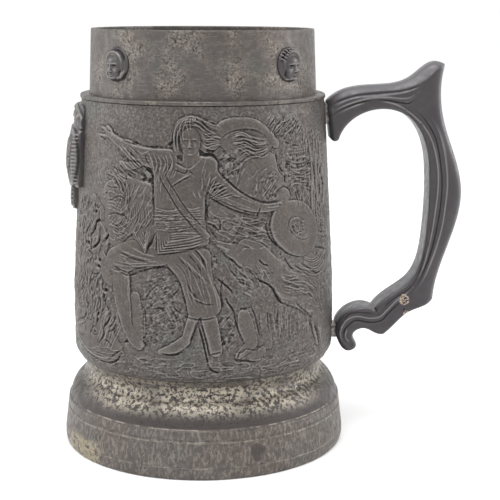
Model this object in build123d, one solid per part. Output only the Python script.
"""Pewter relief tankard: a lined body on a spun foot, with a cast handle.

Frame: millimetres, +Z up, origin at the centre of the face that the foot stands on.
The handle is on the +X side, and the medallion covers the body's seam on the -X side.
Everything is soldered together, so nothing moves.
"""
import os
from math import cos, radians, sin

from build123d import *

# Heights
overall_height = 160.0
collar_height = 24.2          # from the shoulder ring's top face up to the rim
shoulder_thickness = 1.6
foot_height = 28.5            # the flange that the body stands on
foot_ring_height = 4.7
turn_in_height = 9.5          # the sleeve's sloping underside, above the foot
belly_height = 34.0           # where the sleeve starts to narrow, above the foot
cup_taper_height = 8.0        # the cup's narrowed lower end

# Walls
cup_wall = 1.3
cup_floor_thickness = 1.6
sleeve_wall = 2.0
foot_wall = 2.0
flange_thickness = 2.0
foot_ring_width = 4.5
base_plate_thickness = 1.0
base_plate_recess = 2.0       # how far the base plate sits above the table

# Radii: the collar's drives the rest, each by a step in or out from its neighbour
collar_radius = 43.2
rim_taper = 1.0               # the collar narrows this much up to the rim
cup_narrowing = 1.2           # and the cup this much at its lower end
sleeve_gap = 1.3              # between the cup and the top of the sleeve
waist_gap = 0.3               # between the cup and the bottom of the sleeve
shoulder_overhang = 0.2
belly_swell = 4.1
flange_seat = 4.7             # how far the flange reaches in under the cup's wall
foot_shoulder_spread = 8.4
step_width = 0.8
foot_flare = 1.6              # the band's spread from the step down to the foot ring
sole_inset = 0.5              # from the foot ring's side to the face that meets the table

# Roundings, and the lines turned into the foot
rim_rounding = 0.5
shoulder_rounding = 0.7
belly_rounding = 150.0
turn_in_rounding = 7.0
sole_rounding = 0.8
foot_shoulder_bulge = 2.0     # how far the foot's shoulder rounds out past a straight cone
step_drop = 10.1              # from the flange down to the step that ends the shoulder
step_thickness = 0.6
groove_drop = 3.9             # from the step down to the groove
groove_width = 1.0
groove_depth = 0.5

# Handle: its outline is drawn outwards and upwards from the lower joint on the body
handle_thickness = 14.0
handle_edge = 1.2             # the flat cut along its side edges
handle_reach = 52.0           # from the body out to the furthest part of the grip
drawn_reach = 52.0            # the reach and the span between joints that it is drawn at
drawn_span = 86.0
upper_joint_drop = 6.2        # the upper joint's centre, below the shoulder ring
lower_joint_rise = 13.5       # the lower joint's centre, above the foot
upper_pad_width = 8.0
upper_pad_height = 8.0
lower_pad_width = 7.0
lower_pad_height = 5.0
pad_bite = 3.0                # how far a pad's block reaches each way before it is cut to fit

# Medallion over the seam, opposite the handle
medallion_gap = 2.2           # from the shoulder ring down to the crown
medallion_width = 35.0
medallion_corner = 3.5
crown_height = 9.5
crown_rise = 1.7
shield_height = 21.0
shield_rise = 3.8
tail_height = 9.5
tail_width = 18.0
tail_rise = 2.4

# Heads on the collar
head_width = 12.0
head_height = 12.7
head_rise = 3.0
head_drop = 12.2              # the heads' centres, below the rim
head_angle = 46.0             # each side of the front and of the back

# Sizes that follow from the ones above
collar_base = overall_height - collar_height
sleeve_top = collar_base - shoulder_thickness
turn_in_top = foot_height + turn_in_height
belly_top = foot_height + belly_height
upper_joint = sleeve_top - upper_joint_drop
lower_joint = foot_height + lower_joint_rise
step_height = foot_height - step_drop
band_top = step_height - step_thickness
groove_height = step_height - groove_drop

rim_radius = collar_radius - rim_taper
cup_bottom_radius = collar_radius - cup_narrowing
sleeve_top_radius = collar_radius + sleeve_gap + sleeve_wall
shoulder_radius = sleeve_top_radius + shoulder_overhang
belly_radius = sleeve_top_radius + belly_swell
waist_radius = cup_bottom_radius + waist_gap + sleeve_wall
flange_hole_radius = cup_bottom_radius - cup_wall - flange_seat
foot_shoulder_radius = waist_radius + foot_shoulder_spread
foot_band_radius = foot_shoulder_radius + step_width
foot_radius = foot_band_radius + foot_flare
sole_radius = foot_radius - sole_inset
ring_bore_radius = foot_radius - foot_ring_width

far = 4 * overall_height      # reaches past the whole object


def turned(*edges):
    """A solid of revolution about Z from the edges of a closed (radius, height) outline."""
    return revolve(Plane.XZ * make_face(list(edges)), Axis.Z)


def turned_polygon(*points):
    """A solid of revolution about Z from the corners of a (radius, height) outline."""
    return turned(Polyline(*points, close=True))


def disc(radius, bottom, thickness):
    return Pos(0, 0, bottom) * Cylinder(radius, thickness, align=(Align.CENTER, Align.CENTER, Align.MIN))


def radius_between(lower, upper, height):
    """The radius at a height on the straight line through two (radius, height) points."""
    share = (height - lower[1]) / (upper[1] - lower[1])
    return lower[0] + share * (upper[0] - lower[0])


# Cup: one tube from the rim down to the foot's flange, with a floor soldered into its end

def cup_filled(inset):
    """The solid inside the cup's outer wall, or inside a wall moved in towards the axis."""
    return turned_polygon(
        (0, overall_height),
        (rim_radius - inset, overall_height),
        (collar_radius - inset, collar_base),
        (collar_radius - inset, foot_height + cup_taper_height),
        (cup_bottom_radius - inset, foot_height),
        (0, foot_height),
    )


def make_cup():
    cup = cup_filled(0) - cup_filled(cup_wall)
    rim_edges = cup.edges().group_by(Axis.Z)[-1]
    return fillet(rim_edges, rim_rounding)


def make_cup_floor():
    return disc(far, foot_height, cup_floor_thickness) & cup_filled(cup_wall)


# Body: a shoulder ring over the two halves of the relief sleeve

def make_shoulder_ring():
    outer_edge = FilletPolyline(
        (collar_radius, sleeve_top),
        (shoulder_radius, sleeve_top),
        (shoulder_radius, collar_base),
        (collar_radius, collar_base),
        radius=[shoulder_rounding / 2, shoulder_rounding],
    )
    inner_edge = Line((collar_radius, collar_base), (collar_radius, sleeve_top))
    return turned(outer_edge, inner_edge)


def sleeve_filled(inset):
    """The solid inside the sleeve's outer side, or inside a side moved in towards the axis."""
    side = FilletPolyline(
        (waist_radius - inset, foot_height),
        (belly_radius - inset, turn_in_top),
        (belly_radius - inset, belly_top),
        (sleeve_top_radius - inset, sleeve_top),
        radius=[turn_in_rounding, belly_rounding],
    )
    core = Polyline(
        (sleeve_top_radius - inset, sleeve_top),
        (0, sleeve_top),
        (0, foot_height),
        (waist_radius - inset, foot_height),
    )
    return turned(side, core)


def make_sleeve_half(side):
    """Half of the sleeve: side is -1 for the front (-Y) and 1 for the back."""
    half_space = Pos(0, side * far / 2, 0) * Box(far, far, far)
    return (sleeve_filled(0) - sleeve_filled(sleeve_wall)) & half_space


def sleeve_radius(height):
    """The sleeve's outer radius at a joint's height, leaving out its roundings."""
    if height < belly_top:
        return belly_radius
    return radius_between((belly_radius, belly_top), (sleeve_top_radius, sleeve_top), height)


# Foot: a spun shell with a flange on top, standing on a ring that holds a closing plate

def band_radius(height):
    """The radius of the foot's flaring band, between the step and the foot ring."""
    return radius_between((foot_radius, foot_ring_height), (foot_band_radius, band_top), height)


def make_foot():
    shoulder = SagittaArc(
        (waist_radius, foot_height), (foot_shoulder_radius, step_height), foot_shoulder_bulge
    )
    groove_top = groove_height + groove_width / 2
    groove_bottom = groove_height - groove_width / 2
    band = Polyline(
        (foot_shoulder_radius, step_height),
        (foot_band_radius, band_top),
        (band_radius(groove_top), groove_top),
        (band_radius(groove_height) - groove_depth, groove_height),
        (band_radius(groove_bottom), groove_bottom),
        (foot_radius, foot_ring_height),
        (foot_radius - foot_wall, foot_ring_height),
        (foot_shoulder_radius - foot_wall, step_height),
    )
    under_shoulder = SagittaArc(
        (foot_shoulder_radius - foot_wall, step_height),
        (waist_radius - foot_wall, foot_height - flange_thickness),
        -foot_shoulder_bulge,
    )
    flange = Polyline(
        (waist_radius - foot_wall, foot_height - flange_thickness),
        (flange_hole_radius, foot_height - flange_thickness),
        (flange_hole_radius, foot_height),
        (waist_radius, foot_height),
    )
    return turned(shoulder, band, under_shoulder, flange)


def make_foot_ring():
    outer_edge = FilletPolyline(
        (ring_bore_radius, 0),
        (sole_radius, 0),
        (foot_radius, foot_ring_height / 2),
        (foot_radius, foot_ring_height),
        radius=[sole_rounding, sole_rounding],
    )
    inner_edge = Polyline(
        (foot_radius, foot_ring_height),
        (ring_bore_radius, foot_ring_height),
        (ring_bore_radius, 0),
    )
    return turned(outer_edge, inner_edge)


def make_base_plate():
    return disc(ring_bore_radius, base_plate_recess, base_plate_thickness)


# Handle, and the solder pads that hold it off the sleeve

def on_handle(out, up):
    """Place a point of the handle's drawing, measured from the lower joint on the body."""
    height = lower_joint + up * (upper_joint - lower_joint) / drawn_span
    lower_wall = (sleeve_radius(lower_joint), lower_joint)
    upper_wall = (sleeve_radius(upper_joint), upper_joint)
    return (radius_between(lower_wall, upper_wall, height) + out * handle_reach / drawn_reach, height)


def handle_curve(*points):
    """A smooth stretch of the handle's outline, corner to corner."""
    return Spline(*[on_handle(*point) for point in points])


def make_handle():
    body_end = Line(on_handle(1.5, 76.6), on_handle(0.5, 90.6))
    top = handle_curve((0.5, 90.6), (8.0, 95.3), (22.0, 97.0), (33.0, 99.7), (42.8, 105.8), (46.3, 104.8))
    back = handle_curve(
        (46.3, 104.8), (44.5, 94.0), (45.7, 82.5), (50.2, 67.5), (52.0, 55.5),
        (48.6, 39.9), (44.2, 28.4), (40.3, 13.0),
    )
    heel = handle_curve((40.3, 13.0), (37.4, 10.9), (30.4, 8.0), (24.6, 3.0), (20.4, -0.8))
    toe = handle_curve((20.4, -0.8), (18.2, -0.9), (12.2, 1.5), (8.4, -0.4), (8.6, -3.2))
    scroll = handle_curve(
        (8.6, -3.2), (8.9, -6.3), (6.0, -7.6), (2.4, -4.2), (1.8, 3.0), (7.6, 9.1), (16.6, 9.3),
    )
    grip = handle_curve(
        (16.6, 9.3), (22.4, 14.6), (31.2, 21.0), (37.4, 38.5), (39.1, 62.0),
        (37.2, 76.6), (31.6, 84.8), (22.8, 87.8), (10.0, 83.7), (4.6, 76.3),
    )
    tip = ThreePointArc(on_handle(4.6, 76.3), on_handle(3.0, 75.5), on_handle(1.5, 76.6))
    outline = make_face([body_end, top, back, heel, toe, scroll, grip, tip])
    handle = extrude(Plane.XZ * outline, handle_thickness / 2, both=True)
    return chamfer(handle.faces().filter_by(Axis.Y).edges(), handle_edge)


def make_pad(joint, width, height, handle):
    """Solder between the sleeve and the handle, cut to fit both."""
    block = Pos(sleeve_radius(joint), 0, joint) * Box(2 * pad_bite, width, height)
    return block - sleeve_filled(0) - handle


# Medallion: a shield under a crown, with a tail, lying on the curve of the sleeve

def medallion_plate(top, bottom, width, rise):
    """A plate of even thickness on the sleeve's curve, on the -X side."""
    outline = Rectangle(width, top - bottom)
    outline = fillet(outline.vertices(), medallion_corner)
    prism = extrude(Plane.YZ.offset(-far) * Pos(0, (top + bottom) / 2) * outline, far)
    return prism & (sleeve_filled(-rise) - sleeve_filled(0))


def make_medallion():
    crown_top = sleeve_top - medallion_gap
    shield_top = crown_top - crown_height
    tail_top = shield_top - shield_height
    tail_bottom = tail_top - tail_height
    crown = medallion_plate(crown_top, shield_top - medallion_corner, medallion_width, crown_rise)
    shield = medallion_plate(shield_top, tail_top, medallion_width, shield_rise)
    tail = medallion_plate(tail_top + medallion_corner, tail_bottom, tail_width, tail_rise)
    return crown + shield + tail


# Heads: four oval bosses on the collar

def make_head(bearing):
    """An oval boss, bearing degrees round from the front (-Y) towards the handle (+X)."""
    height = overall_height - head_drop
    wall = radius_between((collar_radius, collar_base), (rim_radius, overall_height), height)
    dome = scale(Sphere(1), (head_width / 2, head_rise, head_height / 2))
    out = (wall * sin(radians(bearing)), -wall * cos(radians(bearing)), height)
    return Pos(*out) * Rot(0, 0, bearing) * dome - cup_filled(0)


heads = {
    "head_front_left": -head_angle,
    "head_front_right": head_angle,
    "head_back_right": 180 - head_angle,
    "head_back_left": 180 + head_angle,
}

handle = make_handle()
parts = {
    "inner_cup": make_cup(),
    "cup_floor": make_cup_floor(),
    "shoulder_ring": make_shoulder_ring(),
    "relief_front": make_sleeve_half(-1),
    "relief_back": make_sleeve_half(1),
    "foot": make_foot(),
    "foot_ring": make_foot_ring(),
    "base_plate": make_base_plate(),
    "handle": handle,
    "handle_upper_pad": make_pad(upper_joint, upper_pad_width, upper_pad_height, handle),
    "handle_lower_pad": make_pad(lower_joint, lower_pad_width, lower_pad_height, handle),
    "medallion": make_medallion(),
}
for name, bearing in heads.items():
    parts[name] = make_head(bearing)

os.makedirs("parts", exist_ok=True)
for name, part in parts.items():
    export_step(part, f"parts/{name}.step")
